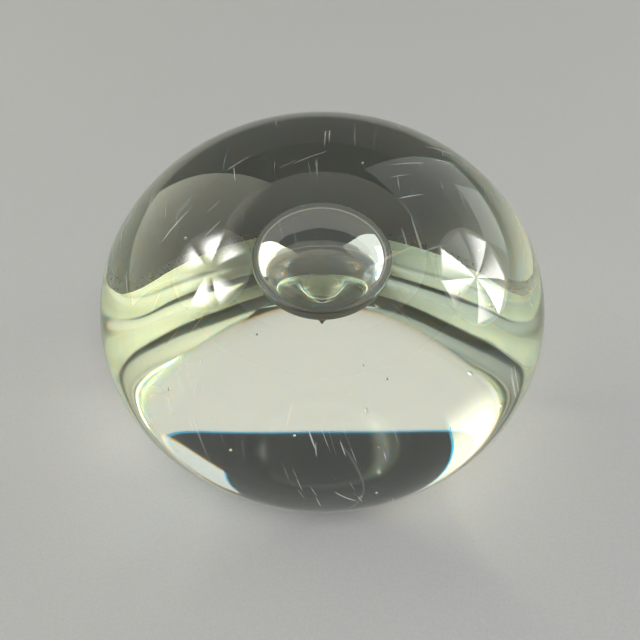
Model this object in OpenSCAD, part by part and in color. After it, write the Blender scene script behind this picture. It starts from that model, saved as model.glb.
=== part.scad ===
// Clear glass paperweight with one large air bubble.
// A first gather of glass is rounded and pricked with a spike. A second gather laid over it seals
// the pit, and the trapped air swells into a flat round bubble between the two. The end of the pit
// stays as the bubble's pointed tail. The foot is ground flat.
// Origin: the centre of the flat base. +Z points up, along the axis of revolution.
// A section is drawn in X and Y, with X as the distance from the axis and Y as the height.

/* [Glass body] */
// Diameter at the girth, the widest level
girth_d = 90; // [86:0.5:96]
// Height of the girth above the base
girth_h = 24.9; // [22:0.1:27]
// Rise of the crown above the girth
crown_rise = 36.3; // [34.5:0.1:38]
// Radius of the rounded side, in section
side_r = 31.4; // [29:0.1:33]
// Width of the arris that is ground round the edge of the base
arris = 0.5; // [0.2:0.1:1]

/* [Bubble] */
// Diameter of the bubble at its widest ring
bubble_d = 21.3; // [19:0.1:24]
// Height of the widest ring above the girth
bubble_lift = 4.7; // [2:0.1:8]
// Rise of the bubble's dome above the widest ring
dome_rise = 4.6; // [4:0.1:7]
// Radius of the dome's rounded shoulder, in section
shoulder_r = 2.8; // [1.8:0.1:3.4]
// Drop of the bubble's belly below the widest ring, if it had no tail
belly_drop = 6.4; // [5.6:0.1:7.4]
// Radius of the belly's rounded flank, in section
flank_r = 4.4; // [3.8:0.1:5]
// Depth of the pit, from the widest ring down to the point of the tail
pit_depth = 13.7; // [13:0.1:16]
// Half the angle of the tail's cone
tail_angle = 29; // [26:0.5:33]
// Radius of the curve from the belly into the tail, in section
tail_curve_r = 5; // [3:0.5:6]

/* [Core gather] */
// Diameter of the ball of glass that is pricked
core_d = 44; // [40:0.5:50]
// Height of the bubble's widest ring above the end of the seam
seam_drop = 0.8; // [0.4:0.1:1.2]

/* [Colour] */
// Tint of the clear glass
tint = "#dfe8e2"; // [#dfe8e2:Pale green, #e8e8e8:Neutral, #dce6ee:Pale blue]

/* [Hidden] */
$fn = 180;

// How solid the glass looks in a preview
preview_alpha = 0.35;
// Reach of a cutting shape past anything that it cuts
far = 200;
// How far a filling shape runs into its neighbour
overlap = 1;
// Share by which an arc is drawn inside the arc that it meets, so that the two cross cleanly
hair = 0.0005;
// How far the dome stands proud of the belly at the ring, so that their arcs cross cleanly
lip = 0.003;
// Slope of the ground arris, from the base
arris_angle = 20;

girth_r = girth_d / 2;
bubble_r = bubble_d / 2;
core_r = core_d / 2;
ring_h = girth_h + bubble_lift;

// Distance from the axis to the centre of the side's arc
side_x = girth_r - side_r;
// Radius at which the side would meet the base if it had no arris
foot_r = side_x + chord_half(side_r, girth_h);

// Distance from the axis to the centre of the belly's flank
flank_x = bubble_r - flank_r;

// The seam ends on the belly's flank, a little below the widest ring.
seam_r = flank_x + chord_half(flank_r, seam_drop);
core_h = ring_h - seam_drop - chord_half(core_r, seam_r);

// Half the width of a circle, at a distance from its centre
function chord_half(r, distance) = sqrt(r * r - distance * distance);

// Radius of the crown arc that meets a side arc smoothly
function crown_arc_r(half_w, rise, arc_r) =
    (half_w * half_w - 2 * half_w * arc_r + rise * rise) / (2 * (rise - arc_r));

// Point at a distance and an angle from a centre
function polar(centre, r, angle) = centre + r * [cos(angle), sin(angle)];

// Slice of a disc between two angles that are less than 180 degrees apart
module sector(centre, r, from, to) {
    intersection() {
        translate(centre) rotate(180) circle(r);
        polygon([
            centre,
            polar(centre, far, from),
            polar(centre, far, (from + to) / 2),
            polar(centre, far, to)
        ]);
    }
}

// Quarter of an oval, above its girth line: a side arc that runs smoothly into a crown arc.
// The side arc's disc is whole, so it also reaches below the girth line.
module quarter_oval(half_w, rise, arc_r) {
    crown_r = crown_arc_r(half_w, rise, arc_r) * (1 - hair);
    crown_centre = [0, rise - crown_r];
    side_centre = [half_w - arc_r, 0];
    join = atan2(side_centre.y - crown_centre.y, side_centre.x);

    translate(side_centre) rotate(90) circle(arc_r);
    intersection() {
        sector(crown_centre, crown_r, join, 90);
        square([far, far]);
    }
}

// Everything above the ground base and its arris
module ground_cut() {
    polygon([
        [0, 0],
        [foot_r - arris, 0],
        polar([foot_r - arris, 0], far, arris_angle),
        [0, far]
    ]);
}

// Section of the whole body, as if it were solid
module body_profile() {
    intersection() {
        union() {
            translate([0, girth_h]) quarter_oval(girth_r, crown_rise, side_r);
            square([(side_x + foot_r) / 2, girth_h + overlap]);
        }
        ground_cut();
    }
}

// Section of the air space, a dome over a belly, which runs smoothly into a conical tail
module bubble_profile() {
    translate([0, ring_h]) {
        quarter_oval(bubble_r + lip, dome_rise, shoulder_r);
        intersection() {
            mirror([0, 1]) quarter_oval(bubble_r, belly_drop, flank_r);
            translate([0, -far]) square([far, far]);
        }
        translate([0, -overlap]) square([bubble_r - shoulder_r + overlap, 2 * overlap]);
        tail_profile();
    }
}

// Section of the bubble's tail and of the curve that joins it to the belly, from the widest ring
module tail_profile() {
    belly_r = crown_arc_r(bubble_r, belly_drop, flank_r) * (1 - hair);
    belly_centre = [0, belly_r - belly_drop];
    tip = [0, -pit_depth];

    // Distance from the tip to where the curve starts, along the cone, from the triangle of the
    // tip and the centres of the two arcs
    reach = pit_depth + belly_centre.y;
    side = tail_curve_r + reach * sin(tail_angle);
    run = reach * cos(tail_angle) - chord_half(belly_r + tail_curve_r, side);

    curve_start = polar(tip, run, 90 - tail_angle);
    curve_centre = polar(curve_start, tail_curve_r, -tail_angle);
    to_curve = curve_centre - belly_centre;
    curve_end = belly_centre + belly_r * to_curve / norm(to_curve);

    polygon([tip, [(pit_depth - overlap) * tan(tail_angle), -overlap], [0, -overlap]]);
    difference() {
        polygon([[0, curve_start.y], curve_start, curve_centre, curve_end, [0, curve_end.y]]);
        translate(curve_centre) circle(tail_curve_r * (1 + hair));
    }
}

// Section of the ball of glass that the first gather is rounded to
module ball_profile() {
    translate([0, core_h]) circle(core_r);
}

// First gather: a ball with the pricked pit in its top, ground flat where it reaches the base
module core_gather() {
    color(tint, preview_alpha)
        rotate_extrude()
            difference() {
                intersection() {
                    ball_profile();
                    square([far, far]);
                }
                bubble_profile();
            }
}

// Second gather: the outer glass, which seals the pit and forms the bubble's dome
module casing_gather() {
    color(tint, preview_alpha)
        rotate_extrude()
            difference() {
                body_profile();
                ball_profile();
                bubble_profile();
            }
}

core_gather();
casing_gather();
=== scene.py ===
"""A clear glass paperweight with one large air bubble, on a pale studio floor.

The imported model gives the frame: the casing's box sets the girth and the height, and the core's
box sets the ball of the first gather and the end of the seam. Everything is in metres, with the
centre of the flat base at the origin and +Z up.

The glass is a solid of revolution. A run is a stretch of its section, as a list of points, and each
point is (distance from the axis, height).
"""

import math
import random

import bmesh
import bpy
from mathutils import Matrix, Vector


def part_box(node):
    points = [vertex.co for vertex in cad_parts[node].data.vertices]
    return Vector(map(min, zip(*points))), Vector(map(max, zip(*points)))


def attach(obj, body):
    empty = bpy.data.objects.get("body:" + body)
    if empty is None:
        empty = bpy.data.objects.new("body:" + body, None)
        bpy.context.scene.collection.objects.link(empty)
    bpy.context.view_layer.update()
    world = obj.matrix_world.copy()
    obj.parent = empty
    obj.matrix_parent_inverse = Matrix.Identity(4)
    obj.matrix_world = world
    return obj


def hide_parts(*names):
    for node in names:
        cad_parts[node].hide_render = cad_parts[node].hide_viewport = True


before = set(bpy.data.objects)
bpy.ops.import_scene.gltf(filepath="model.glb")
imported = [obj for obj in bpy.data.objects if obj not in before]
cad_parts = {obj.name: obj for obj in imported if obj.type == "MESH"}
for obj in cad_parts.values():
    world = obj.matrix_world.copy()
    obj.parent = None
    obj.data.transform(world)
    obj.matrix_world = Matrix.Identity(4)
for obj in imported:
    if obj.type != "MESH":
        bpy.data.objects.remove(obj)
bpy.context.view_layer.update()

MM = 0.001
FULL_TURN = 2 * math.pi
QUARTER_TURN = math.pi / 2

# The body, from the frame
CASING_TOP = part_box("casing_gather")[1]
CORE_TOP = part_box("core_gather")[1]
GIRTH_R = CASING_TOP.x
BODY_H = CASING_TOP.z
BALL_R = CORE_TOP.x
SEAM_TOP = CORE_TOP.z

# The body's other sizes, as the design has them
GIRTH_H = 24.9 * MM
CROWN_RISE = BODY_H - GIRTH_H
ARRIS = 0.5 * MM
ARRIS_SLOPE = math.radians(20)

# The bubble: its widest ring, which lies just above the seam's end, its dome above the ring, and its
# belly and tail below
BUBBLE_R = 10.65 * MM
SEAM_DROP = 0.8 * MM
RING_H = SEAM_TOP + SEAM_DROP
DOME_RISE = 4.6 * MM
BELLY_DROP = 6.4 * MM
PIT_DEPTH = 13.7 * MM
TIP_H = RING_H - PIT_DEPTH
TAIL_ANGLE = math.radians(29)
# The fillet from the belly into the tail: how far outside the tail's cone it starts, its height, and
# how far it runs on in the belly's and the tail's own directions
FILLET_START = 1.5 * MM
FILLET_DROP = 2.8 * MM
FILLET_PULL = FILLET_DROP * 0.5

# Air seeds: their radius, their elevation as seen from the centre of the seam's ball, how many each
# gather has, and how far outside the ball they lie
RANDOM_SEED = 7
SEED_R = (0.12 * MM, 0.26 * MM)
SEED_ELEVATION = (math.radians(-15), math.radians(50))
CORE_SEEDS, CORE_SEED_GAP = 5, (-5 * MM, -0.6 * MM)
CASING_SEEDS, CASING_SEED_GAP = 12, (0.6 * MM, 8 * MM)

# Fineness of the meshes
AROUND = 256
SKIN_STEPS = 120
SKIN_ANGLE_STEP = 0.0005
ARRIS_STEPS = 3
BASE_STEPS = 4
BASE_RIM_STEPS = 3
DOME_STEPS = 28
BELLY_SAMPLES = 400
BELLY_STEPS = 30
FILLET_STEPS = 16
TAIL_STEPS = 24
SEAM_STEPS = 40
STAGE_AROUND = 96
COVE_STEPS = 16
SHARP_ANGLE = math.radians(12)
# Points nearer to the axis than this lie on it
ON_AXIS = 1e-9

GLASS_IOR = 1.51
GLASS_TINT = (0.975, 0.985, 0.955, 1.0)
# The warm and the cool share of white light, each with its own index where it leaves the glass
SPLIT = (((1.0, 0.5, 0.0), 1.503), ((0.0, 0.5, 1.0), 1.518))
# Reflected shares from here up are total reflection
TOTAL = 0.999

# The skin's inside is polished above the first height, in mm, and a little rough below the second
POLISHED_ABOVE, ROUGH_BELOW = 22.0, 12.0
INSIDE_ROUGHNESS = 0.32

MARK_COLOUR = (0.85, 0.87, 0.84, 1.0)
# Turns, in radians, that give the hairlines their directions
SKIN_MARK_TURNS = ((1.3, 0.2, 0.5), (1.1, -0.8, 1.9), (-0.9, 1.2, -0.8))
BASE_MARK_TURNS = ((1.2, 0.4, 0.9), (1.3, -0.5, 2.4))
# Share of a dust speck's radius within which it is at full strength
SPECK_CORE = 0.6

# The stage: the radius of its flat part, the radius of its cove, the top of its wall, and how far it
# lies below the base
FLOOR_R = 1.5
COVE_R = 0.6
WALL_H = 1.1
FLOOR_GAP = 0.1 * MM
# The floor's tone, from the darkest grain to the lightest
FLOOR_TONE = (0.38, 0.46)
FLOOR_TINT = (1.0, 1.0, 0.98)
# Painted shade on the floor, seen only through the glass: how much darker the floor looks there, and
# the distances, in mm, between which that fades out
PAINTED_SHADE_THROUGH_GLASS = 0.8
DIM_NEAR, DIM_FAR = 300.0, 600.0

# Distance from the origin to the side panels, the screen and the umbrellas
LAMP_AWAY = 1.2
# Umbrellas: the rim's distance from the middle, as a share of the width, the power that sets how
# much the gores differ, and how far across a gore its glow starts to fade
UMBRELLA_RIM = 0.46
GORE_CONTRAST = 1.5
GORE_FADE_START = 0.1
CREAM = (1.0, 0.985, 0.90)
YELLOW = (1.0, 0.99, 0.80)
DEEP_YELLOW = (1.0, 1.0, 0.76)
COOL = (0.93, 1.0, 0.98)
WARM_WHITE = (1.0, 0.99, 0.97)
WHITE = (1.0, 1.0, 1.0)
SURROUND_COLOUR = (0.95, 1.0, 0.98, 1.0)
SURROUND_STRENGTH = 0.05


# ---------------------------------------------------------------- sections


def ellipse_run(half_w, rise, centre_h, start, end, steps):
    """Points on an upright ellipse, from one angle to another."""
    angles = [start + (end - start) * i / steps for i in range(steps + 1)]
    return [(half_w * math.cos(a), centre_h + rise * math.sin(a)) for a in angles]


def bezier_run(p0, p1, p2, p3, steps):
    """Points on a cubic curve."""
    run = []
    for i in range(steps + 1):
        t = i / steps
        u = 1 - t
        run.append(
            tuple(
                u**3 * a + 3 * u * u * t * b + 3 * u * t * t * c + t**3 * d
                for a, b, c, d in zip(p0, p1, p2, p3)
            )
        )
    return run


def line_run(start, end, steps):
    """Points on a straight line."""
    return [
        tuple(a + (b - a) * i / steps for a, b in zip(start, end))
        for i in range(steps + 1)
    ]


def moved(point, heading, reach):
    """A point moved by a distance along a heading of length 1."""
    return tuple(p + d * reach for p, d in zip(point, heading))


def split_run(run, height):
    """Cuts a run that goes down where it passes a height, and returns the parts above and below."""
    for i in range(len(run) - 1):
        (r0, h0), (r1, h1) = run[i], run[i + 1]
        if h0 >= height > h1:
            t = (h0 - height) / (h0 - h1)
            cut = (r0 + (r1 - r0) * t, height)
            return run[: i + 1] + [cut], [cut] + run[i + 1 :]
    raise ValueError("the run never passes this height")


def skin_runs():
    """The ground arris, and the fire-polished side from the arris up to the crown."""
    angle = math.asin(-GIRTH_H / CROWN_RISE)
    r, h = GIRTH_R * math.cos(angle), 0.0
    base_r = r - ARRIS
    # The skin starts where it comes out of the arris's slope
    while h <= (r - base_r) * math.tan(ARRIS_SLOPE):
        angle += SKIN_ANGLE_STEP
        r, h = GIRTH_R * math.cos(angle), GIRTH_H + CROWN_RISE * math.sin(angle)
    skin = ellipse_run(GIRTH_R, CROWN_RISE, GIRTH_H, angle, QUARTER_TURN, SKIN_STEPS)
    skin[-1] = (0.0, BODY_H)
    return line_run((base_r, 0.0), skin[0], ARRIS_STEPS), skin


def dome_run():
    """The bubble's dome, from its top down to the ring."""
    dome = ellipse_run(BUBBLE_R, DOME_RISE, RING_H, QUARTER_TURN, 0.0, DOME_STEPS)
    dome[0] = (0.0, RING_H + DOME_RISE)
    return dome


def pit_run():
    """The bubble's belly and tail, from the ring down to the tip."""
    slope = math.tan(TAIL_ANGLE)
    belly = ellipse_run(BUBBLE_R, BELLY_DROP, RING_H, 0.0, -QUARTER_TURN, BELLY_SAMPLES)
    # The belly is followed as far as the fillet's start, and the tail from the fillet's end
    start = next(i for i, (r, h) in enumerate(belly) if r - (h - TIP_H) * slope < FILLET_START)
    joint = belly[start]
    end_h = joint[1] - FILLET_DROP
    end = ((end_h - TIP_H) * slope, end_h)
    onward = [j - b for j, b in zip(joint, belly[start - 1])]
    belly_heading = [d / math.hypot(*onward) for d in onward]
    tail_heading = (math.sin(TAIL_ANGLE), math.cos(TAIL_ANGLE))
    fillet = bezier_run(
        joint,
        moved(joint, belly_heading, FILLET_PULL),
        moved(end, tail_heading, FILLET_PULL),
        end,
        FILLET_STEPS,
    )
    tail = line_run(end, (0.0, TIP_H), TAIL_STEPS)
    every = max(1, start // BELLY_STEPS)
    return belly[:start:every] + fillet + tail[1:]


def ball_centre_h(seam_end):
    """Height of the centre of the first gather's ball, which passes through the seam's end."""
    return seam_end[1] - math.sqrt(BALL_R**2 - seam_end[0] ** 2)


def seam_run(seam_end):
    """The ball of the first gather, from the base up to where the seam ends on the bubble."""
    centre_h = ball_centre_h(seam_end)
    start = -math.asin(centre_h / BALL_R)
    end = math.atan2(seam_end[1] - centre_h, seam_end[0])
    run = ellipse_run(BALL_R, BALL_R, centre_h, start, end, SEAM_STEPS)
    run[0] = (run[0][0], 0.0)
    run[-1] = seam_end
    return run


# ---------------------------------------------------------------- meshes


def add_ring(bm, r, h, around):
    """A ring of vertices round the axis, or a single one on the axis."""
    angles = [FULL_TURN * k / around for k in range(1 if r < ON_AXIS else around)]
    return [bm.verts.new((r * math.sin(a), r * math.cos(a), h)) for a in angles]


def add_band(bm, ring, following, around, slot):
    """The faces between two rings, of which one may be a single vertex."""
    for k in range(around):
        n = (k + 1) % around
        if len(ring) == 1:
            corners = (ring[0], following[k], following[n])
        elif len(following) == 1:
            corners = (ring[k], following[0], ring[n])
        else:
            corners = (ring[k], following[k], following[n], ring[n])
        face = bm.faces.new(corners)
        face.material_index = slot
        face.smooth = True


def revolve(name, runs, materials, around=AROUND):
    """A surface of revolution with smooth sides and crisp edges.

    runs holds (points, material), and each run starts where the last one ends.
    """
    bm = bmesh.new()
    last_ring = None
    for points, material in runs:
        slot = materials.index(material)
        for r, h in points if last_ring is None else points[1:]:
            ring = add_ring(bm, r, h, around)
            if last_ring is not None:
                add_band(bm, last_ring, ring, around, slot)
            last_ring = ring
    bmesh.ops.recalc_face_normals(bm, faces=bm.faces)
    mesh = bpy.data.meshes.new(name)
    bm.to_mesh(mesh)
    bm.free()
    for material in materials:
        mesh.materials.append(material)
    mesh.set_sharp_from_angle(angle=SHARP_ANGLE)
    piece = bpy.data.objects.new(name, mesh)
    bpy.context.scene.collection.objects.link(piece)
    return piece


# ---------------------------------------------------------------- nodes


def new_material(name):
    """An empty node material, with its tree and its output node."""
    material = bpy.data.materials.new(name)
    material.use_nodes = True
    tree = material.node_tree
    tree.nodes.clear()
    return material, tree, tree.nodes.new("ShaderNodeOutputMaterial")


def add_node(tree, kind, **values):
    """A node with some of its inputs or properties set. Inputs are given by name with _ for spaces."""
    node = tree.nodes.new(kind)
    for key, value in values.items():
        title = key.replace("_", " ")
        if title in node.inputs:
            node.inputs[title].default_value = value
        else:
            setattr(node, key, value)
    return node


def set_input(tree, socket, value):
    """Links a value to a socket, or sets it there if it is a plain number."""
    if isinstance(value, bpy.types.NodeSocket):
        tree.links.new(value, socket)
    else:
        socket.default_value = value


def math_node(tree, operation, *values):
    """The result of a calculation on one or two values."""
    node = add_node(tree, "ShaderNodeMath", operation=operation)
    for socket, value in zip(node.inputs, values):
        set_input(tree, socket, value)
    return node.outputs[0]


def product(tree, *factors):
    """The product of two or more values."""
    result = factors[0]
    for factor in factors[1:]:
        result = math_node(tree, "MULTIPLY", result, factor)
    return result


def blend_to(tree, amount, share):
    """1 where amount is 0, and share where amount is 1."""
    return math_node(tree, "ADD", product(tree, amount, share - 1), 1.0)


def smooth_step(tree, value, start, end):
    """Goes smoothly from 0 at start to 1 at end. Either of the two may be the higher."""
    step = add_node(tree, "ShaderNodeMapRange", interpolation_type="SMOOTHSTEP")
    step.inputs["From Min"].default_value = start
    step.inputs["From Max"].default_value = end
    tree.links.new(value, step.inputs["Value"])
    return step.outputs[0]


def in_millimetres(tree, turn=(0.0, 0.0, 0.0), stretch=(1.0, 1.0, 1.0)):
    """The object's own coordinates, in millimetres, turned and then stretched."""
    coords = add_node(tree, "ShaderNodeTexCoord")
    mapping = add_node(tree, "ShaderNodeMapping", vector_type="TEXTURE")
    mapping.inputs["Rotation"].default_value = turn
    mapping.inputs["Scale"].default_value = [MM / s for s in stretch]
    tree.links.new(coords.outputs["Object"], mapping.inputs["Vector"])
    return mapping.outputs["Vector"]


def noise_value(tree, vector, scale, detail):
    """Noise from 0 to 1, with its scale in features per unit of the vector."""
    noise = add_node(tree, "ShaderNodeTexNoise", Scale=scale, Detail=detail)
    tree.links.new(vector, noise.inputs["Vector"])
    return noise.outputs[0]


def bump_normal(tree, height, distance, strength=1.0):
    """A surface normal for a height from 0 to 1, where 1 stands for distance in metres."""
    bump = add_node(tree, "ShaderNodeBump", Strength=strength, Distance=distance)
    tree.links.new(height, bump.inputs["Height"])
    return bump.outputs[0]


def mix_shaders(tree, factor, a, b):
    """Shader a where the factor is 0, and b where it is 1."""
    mix = tree.nodes.new("ShaderNodeMixShader")
    for socket, value in zip(mix.inputs, (factor, a, b)):
        tree.links.new(value, socket)
    return mix.outputs[0]


# ---------------------------------------------------------------- materials


def glass_node(tree, colour, ior, normal, roughness):
    """One glass shader. The roughness may be a number or a socket, and the normal may be None."""
    glass = add_node(tree, "ShaderNodeBsdfGlass", Color=colour, IOR=ior)
    if normal:
        tree.links.new(normal, glass.inputs["Normal"])
    set_input(tree, glass.inputs["Roughness"], roughness)
    return glass.outputs[0]


def clear_glass(tree, normal=None, roughness=0.0):
    """Clear glass that splits white light into warm and cool where the light leaves it.

    Light that is held inside by total reflection, or that enters, keeps the plain index.
    """
    plain = glass_node(tree, GLASS_TINT, GLASS_IOR, normal, roughness)
    split = tree.nodes.new("ShaderNodeAddShader")
    for socket, (share, ior) in zip(split.inputs, SPLIT):
        colour = [t * part for t, part in zip(GLASS_TINT, share)] + [1.0]
        tree.links.new(glass_node(tree, colour, ior, normal, roughness), socket)
    mirror = add_node(tree, "ShaderNodeFresnel", IOR=GLASS_IOR)
    if normal:
        tree.links.new(normal, mirror.inputs["Normal"])
    geometry = tree.nodes.new("ShaderNodeNewGeometry")
    passes = math_node(tree, "LESS_THAN", mirror.outputs[0], TOTAL)
    leaves = product(tree, passes, geometry.outputs["Backfacing"])
    return mix_shaders(tree, leaves, plain, split.outputs[0])


def hairline_mask(tree, turns, along, across, low, high):
    """Hairlines: noise squeezed into thin sheets, which cut the surface in long fine curves.

    Each turn sets one direction. along and across are features per millimetre, and the lines are
    where the noise is over low, at full strength from high.
    """
    lines = None
    for turn in turns:
        place = in_millimetres(tree, turn, (along, along, across))
        mask = smooth_step(tree, noise_value(tree, place, scale=1.0, detail=0.0), low, high)
        lines = mask if lines is None else math_node(tree, "MAXIMUM", lines, mask)
    return lines


def patch_mask(tree, scale, low, high):
    """Large soft patches, where the glass was handled or set down more."""
    return smooth_step(tree, noise_value(tree, in_millimetres(tree), scale, detail=1.0), low, high)


def speck_mask(tree, cells, radius, kept):
    """Dust: a round speck in a share of the cells of a fine grid.

    cells is the number per millimetre, the radius is in cells, and kept is the share.
    """
    dots = add_node(tree, "ShaderNodeTexVoronoi", Scale=cells)
    tree.links.new(in_millimetres(tree), dots.inputs["Vector"])
    near = smooth_step(tree, dots.outputs["Distance"], radius, radius * SPECK_CORE)
    tone = tree.nodes.new("ShaderNodeSeparateColor")
    tree.links.new(dots.outputs["Color"], tone.inputs[0])
    return product(tree, near, math_node(tree, "LESS_THAN", tone.outputs[0], kept))


def with_marks(tree, glass, mask, strength):
    """Glass with white scattering where the mask is."""
    scatter = add_node(tree, "ShaderNodeBsdfDiffuse", Color=MARK_COLOUR)
    return mix_shaders(tree, product(tree, mask, strength), glass, scatter.outputs[0])


def skin_material():
    """The fire-polished outside: clear and slightly wavy, with fine handling marks and dust.

    Low down its inside is a little rough, which blurs what it reflects into the glass.
    """
    material, tree, out = new_material("polished_glass")
    place = in_millimetres(tree)
    waves = noise_value(tree, place, scale=0.045, detail=1.0)
    geometry = tree.nodes.new("ShaderNodeNewGeometry")
    height = tree.nodes.new("ShaderNodeSeparateXYZ")
    tree.links.new(place, height.inputs[0])
    low_down = smooth_step(tree, height.outputs["Z"], POLISHED_ABOVE, ROUGH_BELOW)
    rough = product(tree, low_down, INSIDE_ROUGHNESS, geometry.outputs["Backfacing"])
    glass = clear_glass(tree, bump_normal(tree, waves, distance=0.18 * MM), rough)

    # The marks lie in patches, and they are on the outside only
    lines = hairline_mask(tree, SKIN_MARK_TURNS, along=0.1, across=3.0, low=0.775, high=0.83)
    worn = patch_mask(tree, scale=0.05, low=0.42, high=0.62)
    specks = speck_mask(tree, cells=0.9, radius=0.1, kept=0.05)
    dusty = patch_mask(tree, scale=0.06, low=0.45, high=0.65)
    marks = math_node(tree, "MAXIMUM", product(tree, lines, worn), product(tree, specks, dusty))
    outside = math_node(tree, "SUBTRACT", 1.0, geometry.outputs["Backfacing"])
    shader = with_marks(tree, glass, product(tree, marks, outside), strength=0.45)
    tree.links.new(shader, out.inputs["Surface"])
    return material


def base_material():
    """The ground and polished base: clear and nearly smooth, with faint scuffs and a little dust."""
    material, tree, out = new_material("polished_base_glass")
    lines = hairline_mask(tree, BASE_MARK_TURNS, along=0.07, across=2.0, low=0.79, high=0.85)
    scuffs = product(tree, lines, patch_mask(tree, scale=0.05, low=0.5, high=0.6))
    specks = speck_mask(tree, cells=0.12, radius=0.03, kept=0.6)
    marks = math_node(tree, "MAXIMUM", scuffs, specks)
    shader = with_marks(tree, clear_glass(tree, roughness=0.04), marks, strength=0.08)
    tree.links.new(shader, out.inputs["Surface"])
    return material


def arris_material():
    """The ground arris, a matt grey line round the base, with roughness from 0.15 to 0.45."""
    material, tree, out = new_material("arris_glass")
    smoothest, spread = 0.15, 0.3
    grit = noise_value(tree, in_millimetres(tree), scale=3.0, detail=2.0)
    rough = math_node(tree, "ADD", product(tree, grit, spread), smoothest)
    tree.links.new(clear_glass(tree, roughness=rough), out.inputs["Surface"])
    return material


def bubble_material():
    """The bubble's wall, which set against trapped air: clear and smooth, with faint ripples."""
    material, tree, out = new_material("bubble_glass")
    ripples = noise_value(tree, in_millimetres(tree), scale=0.3, detail=1.0)
    normal = bump_normal(tree, ripples, distance=0.03 * MM)
    glass = glass_node(tree, GLASS_TINT, GLASS_IOR, normal, roughness=0.0)
    tree.links.new(glass, out.inputs["Surface"])
    return material


def seam_material():
    """The fused seam, where light passes from one gather to the other unchanged."""
    material, tree, out = new_material("fused_seam")
    through = add_node(tree, "ShaderNodeBsdfTransparent", Color=(*WHITE, 1.0))
    tree.links.new(through.outputs[0], out.inputs["Surface"])
    return material


def floor_material():
    """A pale matt card with a fine grain. Close to the glass it has painted shade that only rays
    through the glass see, so it looks darker there.
    """
    material, tree, out = new_material("studio_floor")
    place = in_millimetres(tree)
    grain = noise_value(tree, place, scale=2.2, detail=4.0)
    tone = add_node(tree, "ShaderNodeMapRange")
    tone.inputs["To Min"].default_value, tone.inputs["To Max"].default_value = FLOOR_TONE
    tree.links.new(grain, tone.inputs["Value"])

    # Painted shade: near the glass the floor is darker to rays that come through the glass
    rays = tree.nodes.new("ShaderNodeLightPath")
    away = add_node(tree, "ShaderNodeVectorMath", operation="LENGTH")
    tree.links.new(place, away.inputs[0])
    near = smooth_step(tree, away.outputs["Value"], DIM_FAR, DIM_NEAR)
    through = product(tree, rays.outputs["Is Transmission Ray"], near)
    level = product(tree, tone.outputs[0], blend_to(tree, through, 1 - PAINTED_SHADE_THROUGH_GLASS))

    colour = tree.nodes.new("ShaderNodeCombineColor")
    for channel, share in zip(colour.inputs, FLOOR_TINT):
        tree.links.new(product(tree, level, share), channel)
    shader = add_node(tree, "ShaderNodeBsdfPrincipled", Roughness=0.85)
    tree.links.new(colour.outputs[0], shader.inputs["Base Color"])
    normal = bump_normal(tree, grain, distance=0.04 * MM, strength=0.25)
    tree.links.new(normal, shader.inputs["Normal"])
    tree.links.new(shader.outputs[0], out.inputs["Surface"])
    return material


# ---------------------------------------------------------------- the pieces


def seed_places(count, centre_h, gap, rng):
    """Places and radii for tiny air seeds, at small distances from the seam's ball."""
    places = []
    for _ in range(count):
        azimuth = rng.uniform(0, FULL_TURN)
        elevation = rng.uniform(*SEED_ELEVATION)
        reach = BALL_R + rng.uniform(*gap)
        away = reach * math.cos(elevation)
        h = centre_h + reach * math.sin(elevation)
        place = Vector((away * math.sin(azimuth), away * math.cos(azimuth), h))
        places.append((place, rng.uniform(*SEED_R)))
    return places


def add_seeds(piece, places, material):
    """Cuts small round air seeds into a glass piece, as closed shells that face inwards."""
    slot = piece.data.materials.find(material.name)
    bm = bmesh.new()
    bm.from_mesh(piece.data)
    for place, radius in places:
        ball = bmesh.ops.create_icosphere(bm, subdivisions=2, radius=radius)
        bmesh.ops.translate(bm, verts=ball["verts"], vec=place)
        faces = {face for vert in ball["verts"] for face in vert.link_faces}
        bmesh.ops.reverse_faces(bm, faces=list(faces))
        for face in faces:
            face.material_index = slot
            face.smooth = True
    bm.to_mesh(piece.data)
    bm.free()


def make_gathers():
    """The two gathers of glass, which meet along the seam and enclose the bubble between them."""
    skin = skin_material()
    base = base_material()
    arris = arris_material()
    bubble = bubble_material()
    seam = seam_material()

    pit_above, pit_below = split_run(pit_run(), SEAM_TOP)
    seam_end = pit_below[0]
    ball = seam_run(seam_end)
    arris_edge, side = skin_runs()

    core = revolve(
        "core_gather_glass",
        [
            (line_run((0.0, 0.0), ball[0], BASE_STEPS), base),
            (ball, seam),
            (pit_below, bubble),
        ],
        [base, seam, bubble],
    )
    casing = revolve(
        "casing_gather_glass",
        [
            (side[::-1], skin),
            (arris_edge[::-1], arris),
            (line_run(arris_edge[0], ball[0], BASE_RIM_STEPS), base),
            (ball, seam),
            (pit_above[::-1], bubble),
            (dome_run()[::-1], bubble),
        ],
        [base, arris, skin, bubble, seam],
    )
    rng = random.Random(RANDOM_SEED)
    centre_h = ball_centre_h(seam_end)
    add_seeds(core, seed_places(CORE_SEEDS, centre_h, CORE_SEED_GAP, rng), bubble)
    add_seeds(casing, seed_places(CASING_SEEDS, centre_h, CASING_SEED_GAP, rng), bubble)
    return core, casing


# ---------------------------------------------------------------- the stage


def make_stage():
    """A round floor just below the base, which curves up into a plain wall on every side."""
    points = [(0.0, -FLOOR_GAP)]
    for i in range(COVE_STEPS + 1):
        a = QUARTER_TURN * i / COVE_STEPS
        points.append((FLOOR_R + COVE_R * math.sin(a), COVE_R * (1 - math.cos(a)) - FLOOR_GAP))
    points.append((FLOOR_R + COVE_R, WALL_H))
    card = floor_material()
    floor = revolve("studio_floor", [(points, card)], [card], STAGE_AROUND)


def direction(azimuth, elevation):
    """A unit vector. Azimuth runs from +Y towards +X, and both angles are in degrees."""
    a, e = math.radians(azimuth), math.radians(elevation)
    return Vector((math.sin(a) * math.cos(e), math.cos(a) * math.cos(e), math.sin(e)))


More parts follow.
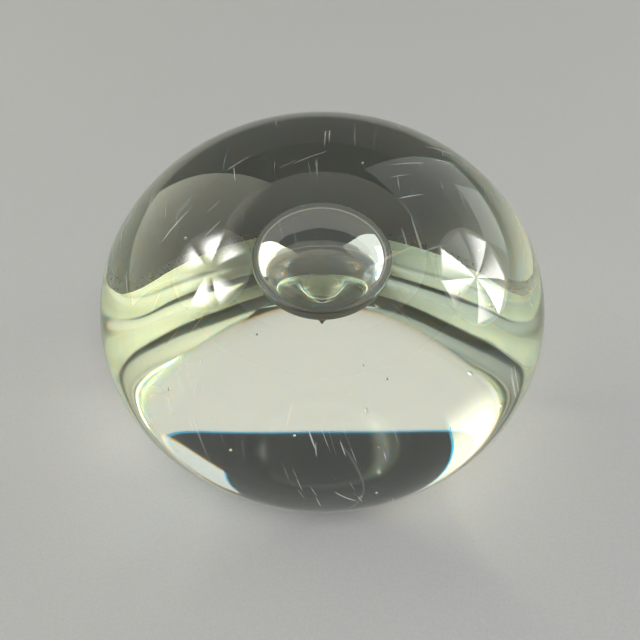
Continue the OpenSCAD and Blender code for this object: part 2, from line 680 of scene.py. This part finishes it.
def area_light(name, centre, size, radiance, colour, unseen_by=(), shape="RECTANGLE"):
    """A soft lamp that faces the origin. The camera and the kinds of ray in unseen_by don't see it."""
    data = bpy.data.lights.new(name, "AREA")
    data.shape = shape
    data.size, data.size_y = size
    area = size[0] * size[1] * (math.pi / 4 if shape == "ELLIPSE" else 1)
    data.energy = radiance * math.pi * area
    data.color = colour
    lamp = bpy.data.objects.new(name, data)
    lamp.location = centre
    lamp.rotation_euler = (Vector() - Vector(centre)).to_track_quat("-Z", "Y").to_euler()
    for kind in ("camera", *unseen_by):
        setattr(lamp, "visible_" + kind, False)
    bpy.context.scene.collection.objects.link(lamp)
    return lamp


def lamp_nodes(lamp):
    """A lamp's node tree, the place on the lamp as 0 to 1 each way, and its Light Path node."""
    lamp.data.use_nodes = True
    tree = lamp.data.node_tree
    geometry = tree.nodes.new("ShaderNodeNewGeometry")
    rays = tree.nodes.new("ShaderNodeLightPath")
    return tree, geometry.outputs["Parametric"], rays


def has_bounced(tree, rays, times):
    """1 for a ray that has bounced at least so many times, and 0 for any other."""
    return math_node(tree, "GREATER_THAN", rays.outputs["Ray Depth"], times - 0.5)


def fade_lamp(lamp, *steps):
    """Fades a lamp's glow over its height, from 0 to 1.

    A step is (start, end, share that is left, fewest bounces of a ray that sees the step).
    """
    tree, place, rays = lamp_nodes(lamp)
    part = tree.nodes.new("ShaderNodeSeparateXYZ")
    tree.links.new(place, part.inputs[0])
    glow = 1.0
    for start, end, share, bounces in steps:
        past = smooth_step(tree, part.outputs["Y"], start, end)
        seen = product(tree, past, has_bounced(tree, rays, bounces))
        glow = product(tree, blend_to(tree, seen, share), glow)
    tree.links.new(glow, tree.nodes["Emission"].inputs["Strength"])


def gore_glow(tree, place, gores, turn, hub, soft):
    """The glow of a lit umbrella: gores of uneven brightness, each brightest at one fold."""
    centred = add_node(tree, "ShaderNodeVectorMath", operation="SUBTRACT")
    centred.inputs[1].default_value = (0.5, 0.5, 0.0)
    tree.links.new(place, centred.inputs[0])
    length = add_node(tree, "ShaderNodeVectorMath", operation="LENGTH")
    tree.links.new(centred.outputs[0], length.inputs[0])
    radius = length.outputs["Value"]
    part = tree.nodes.new("ShaderNodeSeparateXYZ")
    tree.links.new(centred.outputs[0], part.inputs[0])
    angle = math_node(tree, "ARCTAN2", part.outputs["Y"], part.outputs["X"])

    # Which gore it is, and how far across that gore
    gore = math_node(tree, "ADD", product(tree, angle, gores / FULL_TURN), turn + gores)
    across = math_node(tree, "FRACT", gore)
    number = math_node(tree, "MODULO", math_node(tree, "FLOOR", gore), gores)
    level = add_node(tree, "ShaderNodeTexWhiteNoise", noise_dimensions="1D")
    tree.links.new(number, level.inputs["W"])
    brightness = math_node(tree, "POWER", level.outputs["Value"], GORE_CONTRAST)
    fading = smooth_step(tree, across, 1.0, GORE_FADE_START)
    fold = product(tree, fading, smooth_step(tree, across, 0.0, soft))

    # The hub is dark, and the rim is straight between two ribs
    past_hub = smooth_step(tree, radius, hub, hub + soft)
    from_middle = math_node(tree, "SUBTRACT", across, 0.5)
    from_rib = product(tree, from_middle, FULL_TURN / gores)
    reach = product(tree, radius, math_node(tree, "COSINE", from_rib))
    within_rim = smooth_step(tree, reach, UMBRELLA_RIM, UMBRELLA_RIM - soft)
    return product(tree, product(tree, fold, brightness), product(tree, past_hub, within_rim))


def make_umbrella(name, azimuth, elevation, size, peak, deep, **look):
    """A lit umbrella of gores over an even glow of 1. None of its light falls straight on the floor.

    size is its width. peak is the highest brightness that a gore can have. deep is the share of the
    gores' glow that is left for light that has bounced more than three times, so that no hard
    streaks fill the sides of the glass. look holds the number of gores, how many gores they are
    turned by, the radius of the dark hub, and the width of the soft edges.
    """
    centre = direction(azimuth, elevation) * LAMP_AWAY
    lamp = area_light(
        name,
        centre,
        size=(size, size),
        radiance=1.0,
        colour=WARM_WHITE,
        unseen_by=("diffuse",),
        shape="ELLIPSE",
    )
    tree, place, rays = lamp_nodes(lamp)
    kept = blend_to(tree, has_bounced(tree, rays, times=4), deep)
    undiffused = math_node(tree, "LESS_THAN", rays.outputs["Diffuse Depth"], 0.5)
    glow = product(tree, gore_glow(tree, place, **look), product(tree, kept, undiffused), peak)
    strength = math_node(tree, "ADD", glow, 1.0)
    tree.links.new(strength, tree.nodes["Emission"].inputs["Strength"])


def make_panels():
    """The big soft panels, which fill the glass with its broad areas of light."""
    # A round ceiling panel, the cream glow in the base. Its front edge fades out.
    ceiling = area_light(
        "ceiling_panel",
        (0, 0, 1.1),
        size=(1.9, 1.9),
        radiance=0.68,
        colour=CREAM,
        unseen_by=("diffuse",),
        shape="ELLIPSE",
    )
    fade_lamp(ceiling, (0.3, 0.0, 0.0, 0))
    # Panels to the left and the right of the back, with a dark gap between them. Their tops are
    # dimmer to light that has run round inside the glass, and the left one's top edge fades out.
    left = area_light(
        "left_panel", direction(-58, 29) * LAMP_AWAY, size=(1.02, 1.3), radiance=1.45, colour=YELLOW
    )
    fade_lamp(left, (0.55, 0.9, 0.35, 5), (0.85, 1.0, 0.0, 0))
    right = area_light(
        "right_panel", direction(55, 28) * LAMP_AWAY, size=(1.3, 1.0), radiance=0.75, colour=COOL
    )
    fade_lamp(right, (0.6, 0.98, 0.4, 5))
    # A small bright strip in front of the right panel
    area_light(
        "right_strip", direction(50, 13) * 1.1, size=(0.42, 0.25), radiance=1.0, colour=COOL
    )
    # A screen further round to the left, seen only through the glass
    area_light(
        "left_screen",
        direction(-108, 28) * LAMP_AWAY,
        size=(1.0, 1.0),
        radiance=1.3,
        colour=DEEP_YELLOW,
        unseen_by=("diffuse", "glossy"),
    )


def make_lights():
    """The panels, a lit umbrella on either side, the floor's own light and a dim surround."""
    make_panels()
    make_umbrella(
        "left_umbrella", -89, 45, 0.8, peak=60, deep=0.16, gores=7, turn=3.1, hub=0.07, soft=0.2
    )
    make_umbrella(
        "right_umbrella", 81, 25, 0.85, peak=24, deep=0.3, gores=8, turn=0.4, hub=0.0, soft=0.04
    )
    area_light(
        "floor_wash",
        (0.1, -1.0, 1.4),
        size=(1.2, 1.2),
        radiance=6.5,
        colour=WHITE,
        unseen_by=("glossy", "transmission"),
    )
    world = bpy.data.worlds.new("studio_world")
    world.use_nodes = True
    surround = world.node_tree.nodes["Background"]
    surround.inputs["Color"].default_value = SURROUND_COLOUR
    surround.inputs["Strength"].default_value = SURROUND_STRENGTH
    bpy.context.scene.world = world


def make_camera():
    """The photograph's view: from the front, 42.4 degrees above the horizon, from 139.5 mm away."""
    elevation, distance = math.radians(42.4), 139.5 * MM
    pitch, yaw = math.radians(1.664), math.radians(0.225)
    data = bpy.data.cameras.new("camera")
    data.lens = 37.1
    data.sensor_width = 36.0
    data.clip_start = 0.005
    data.clip_end = 20
    camera = bpy.data.objects.new("camera", data)
    back = distance * math.cos(elevation)
    camera.location = (0, -back, GIRTH_H + distance * math.sin(elevation))
    camera.rotation_euler = (QUARTER_TURN - elevation - pitch, 0, yaw)
    bpy.context.scene.collection.objects.link(camera)
    bpy.context.scene.camera = camera


def render_settings():
    """Enough bounces for light that runs round inside the glass, and colours as they are."""
    scene = bpy.context.scene
    cycles = scene.cycles
    cycles.max_bounces = 40
    cycles.diffuse_bounces = 4
    cycles.glossy_bounces = 32
    cycles.transmission_bounces = 32
    cycles.transparent_max_bounces = 64
    cycles.caustics_reflective = True
    cycles.caustics_refractive = True
    cycles.blur_glossy = 0.0
    cycles.sample_clamp_indirect = 40.0
    cycles.use_denoising = True
    scene.view_settings.view_transform = "Standard"


core, casing = make_gathers()
for piece, node in ((core, "core_gather"), (casing, "casing_gather")):
    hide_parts(node)
    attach(piece, "root")

make_stage()
make_lights()
make_camera()
render_settings()
